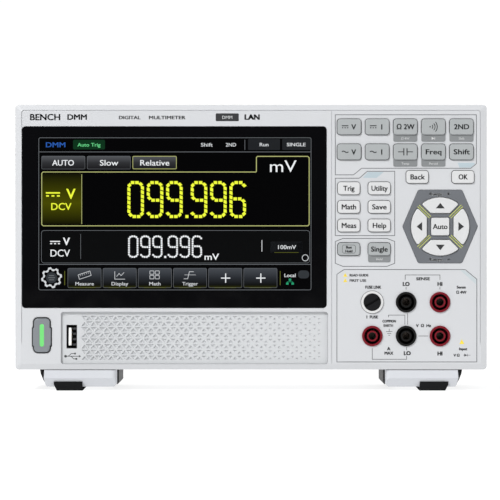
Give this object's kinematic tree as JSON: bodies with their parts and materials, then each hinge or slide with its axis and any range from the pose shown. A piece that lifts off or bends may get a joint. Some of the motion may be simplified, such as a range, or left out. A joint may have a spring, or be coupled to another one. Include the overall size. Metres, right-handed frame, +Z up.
{
  "type": "bench digital multimeter",
  "caption": "Slim bench multimeter with a touch display, a keypad, front 4 mm terminals, a pull-out fuse and fold-down front feet.",
  "frame": {"origin": "on the bench, under the middle of the instrument's overall box", "axes": "+X to the right of someone facing the display, the display faces -Y, +Z up"},
  "size_m": [0.2654, 0.0778, 0.161],
  "materials": {
    "case_light": "fine spark-eroded texture, light grey",
    "trim_light": "light grey, moulded relief",
    "case_light_gloss": "light grey, smooth",
    "display_glass": "black printed cover glass",
    "lcd_metal": "pressed tray",
    "nav_grey": "mid grey",
    "button_grey": "mid grey",
    "light_green": "translucent green, lit",
    "pcb": "solder mask",
    "switch_black": "moulded",
    "tin_plate": "tin plated",
    "socket_red": "semi-gloss",
    "socket_black": "semi-gloss",
    "brass": "turned",
    "cap_black": "moulded",
    "nickel": "nickel plated",
    "screw_steel": "zinc plated",
    "foot_black": "moulded",
    "leg_light": "light grey",
    "rubber": "moulded",
    "key_grey": "silicone-soft grey",
    "key_white": "near white"
  },
  "bodies": {
    "root": {"front_bezel": "case_light", "rear_cover": "case_light", "texture_panel": "trim_light", "screen_glass": "display_glass", "lcd_module": "lcd_metal", "nav_plate": "nav_grey", "key_board": "pcb", "tact_switches": "switch_black", "main_board": "pcb", "input_board": "pcb", "shield_cover": "tin_plate", "red_sockets": "socket_red", "black_sockets": "socket_black", "socket_contacts": "brass", "fuse_holder": "case_light_gloss", "front_usb_socket": "nickel", "lan_jack": "nickel", "usb_device_jack": "nickel", "power_inlet": "nickel", "bnc_connectors": "nickel", "ground_screw": "nickel", "case_screws": "screw_steel", "vesa_inserts": "brass", "foot_base_left": "foot_black", "foot_base_right": "foot_black", "foot_pins": "screw_steel", "rear_pads": "rubber"},
    "key_dc_volts": {"key_dc_volts": "key_grey"},
    "key_dc_current": {"key_dc_current": "key_grey"},
    "key_ohms": {"key_ohms": "key_grey"},
    "key_continuity": {"key_continuity": "key_grey"},
    "key_second": {"key_second": "key_grey"},
    "key_ac_volts": {"key_ac_volts": "key_grey"},
    "key_ac_current": {"key_ac_current": "key_grey"},
    "key_capacitance": {"key_capacitance": "key_grey"},
    "key_frequency": {"key_frequency": "key_grey"},
    "key_shift": {"key_shift": "key_grey"},
    "key_trigger": {"key_trigger": "key_white"},
    "key_utility": {"key_utility": "key_white"},
    "key_math": {"key_math": "key_white"},
    "key_save": {"key_save": "key_white"},
    "key_measure": {"key_measure": "key_white"},
    "key_help": {"key_help": "key_white"},
    "key_run_hold": {"key_run_hold": "key_grey"},
    "key_single": {"key_single": "key_grey"},
    "key_back": {"key_back": "key_white"},
    "key_ok": {"key_ok": "key_white"},
    "key_up": {"key_up": "key_white"},
    "key_left": {"key_left": "key_white"},
    "key_down": {"key_down": "key_white"},
    "key_right": {"key_right": "key_white"},
    "key_auto": {"key_auto": "key_white"},
    "power_button": {"power_button": "button_grey", "power_light": "light_green"},
    "leg_left": {"leg_left": "leg_light", "leg_pad_left": "rubber"},
    "leg_right": {"leg_right": "leg_light", "leg_pad_right": "rubber"},
    "fuse_link": {"fuse_link": "nickel"},
    "fuse_cap": {"fuse_cap": "cap_black"}
  },
  "joints": [
    {"name": "key_dc_volts_press", "type": "slide", "parent": "root", "child": "key_dc_volts", "axis": [0, 1, 0], "range_m": [0, 0.001], "stiffness_N_per_m": 900},
    {"name": "key_dc_current_press", "type": "slide", "parent": "root", "child": "key_dc_current", "axis": [0, 1, 0], "range_m": [0, 0.001], "stiffness_N_per_m": 900},
    {"name": "key_ohms_press", "type": "slide", "parent": "root", "child": "key_ohms", "axis": [0, 1, 0], "range_m": [0, 0.001], "stiffness_N_per_m": 900},
    {"name": "key_continuity_press", "type": "slide", "parent": "root", "child": "key_continuity", "axis": [0, 1, 0], "range_m": [0, 0.001], "stiffness_N_per_m": 900},
    {"name": "key_second_press", "type": "slide", "parent": "root", "child": "key_second", "axis": [0, 1, 0], "range_m": [0, 0.001], "stiffness_N_per_m": 900},
    {"name": "key_ac_volts_press", "type": "slide", "parent": "root", "child": "key_ac_volts", "axis": [0, 1, 0], "range_m": [0, 0.001], "stiffness_N_per_m": 900},
    {"name": "key_ac_current_press", "type": "slide", "parent": "root", "child": "key_ac_current", "axis": [0, 1, 0], "range_m": [0, 0.001], "stiffness_N_per_m": 900},
    {"name": "key_capacitance_press", "type": "slide", "parent": "root", "child": "key_capacitance", "axis": [0, 1, 0], "range_m": [0, 0.001], "stiffness_N_per_m": 900},
    {"name": "key_frequency_press", "type": "slide", "parent": "root", "child": "key_frequency", "axis": [0, 1, 0], "range_m": [0, 0.001], "stiffness_N_per_m": 900},
    {"name": "key_shift_press", "type": "slide", "parent": "root", "child": "key_shift", "axis": [0, 1, 0], "range_m": [0, 0.001], "stiffness_N_per_m": 900},
    {"name": "key_trigger_press", "type": "slide", "parent": "root", "child": "key_trigger", "axis": [0, 1, 0], "range_m": [0, 0.001], "stiffness_N_per_m": 900},
    {"name": "key_utility_press", "type": "slide", "parent": "root", "child": "key_utility", "axis": [0, 1, 0], "range_m": [0, 0.001], "stiffness_N_per_m": 900},
    {"name": "key_math_press", "type": "slide", "parent": "root", "child": "key_math", "axis": [0, 1, 0], "range_m": [0, 0.001], "stiffness_N_per_m": 900},
    {"name": "key_save_press", "type": "slide", "parent": "root", "child": "key_save", "axis": [0, 1, 0], "range_m": [0, 0.001], "stiffness_N_per_m": 900},
    {"name": "key_measure_press", "type": "slide", "parent": "root", "child": "key_measure", "axis": [0, 1, 0], "range_m": [0, 0.001], "stiffness_N_per_m": 900},
    {"name": "key_help_press", "type": "slide", "parent": "root", "child": "key_help", "axis": [0, 1, 0], "range_m": [0, 0.001], "stiffness_N_per_m": 900},
    {"name": "key_run_hold_press", "type": "slide", "parent": "root", "child": "key_run_hold", "axis": [0, 1, 0], "range_m": [0, 0.001], "stiffness_N_per_m": 900},
    {"name": "key_single_press", "type": "slide", "parent": "root", "child": "key_single", "axis": [0, 1, 0], "range_m": [0, 0.001], "stiffness_N_per_m": 900},
    {"name": "key_back_press", "type": "slide", "parent": "root", "child": "key_back", "axis": [0, 1, 0], "range_m": [0, 0.001], "stiffness_N_per_m": 900},
    {"name": "key_ok_press", "type": "slide", "parent": "root", "child": "key_ok", "axis": [0, 1, 0], "range_m": [0, 0.001], "stiffness_N_per_m": 900},
    {"name": "key_up_press", "type": "slide", "parent": "root", "child": "key_up", "axis": [0, 1, 0], "range_m": [0, 0.001], "stiffness_N_per_m": 900},
    {"name": "key_left_press", "type": "slide", "parent": "root", "child": "key_left", "axis": [0, 1, 0], "range_m": [0, 0.001], "stiffness_N_per_m": 900},
    {"name": "key_down_press", "type": "slide", "parent": "root", "child": "key_down", "axis": [0, 1, 0], "range_m": [0, 0.001], "stiffness_N_per_m": 900},
    {"name": "key_right_press", "type": "slide", "parent": "root", "child": "key_right", "axis": [0, 1, 0], "range_m": [0, 0.001], "stiffness_N_per_m": 900},
    {"name": "key_auto_press", "type": "slide", "parent": "root", "child": "key_auto", "axis": [0, 1, 0], "range_m": [0, 0.001], "stiffness_N_per_m": 900},
    {"name": "power_button_press", "type": "slide", "parent": "root", "child": "power_button", "axis": [0, 1, 0], "range_m": [0, 0.001], "stiffness_N_per_m": 900},
    {"name": "leg_left_fold", "type": "hinge", "parent": "root", "child": "leg_left", "pos_m": [-0.0958, 0.006, 0.0066], "axis": [1, 0, 0], "range_deg": [0, 60]},
    {"name": "leg_right_fold", "type": "hinge", "parent": "root", "child": "leg_right", "pos_m": [0.0958, 0.006, 0.0066], "axis": [1, 0, 0], "range_deg": [0, 60]},
    {"name": "fuse_pull", "type": "slide", "parent": "root", "child": "fuse_link", "axis": [0, -1, 0], "range_m": [0, 0.03]},
    {"name": "fuse_cap_turn", "type": "hinge", "parent": "fuse_link", "child": "fuse_cap", "pos_m": [0.0682, -0.0388, 0.04995], "axis": [0, 1, 0], "range_deg": [0, 90]}
  ]
}
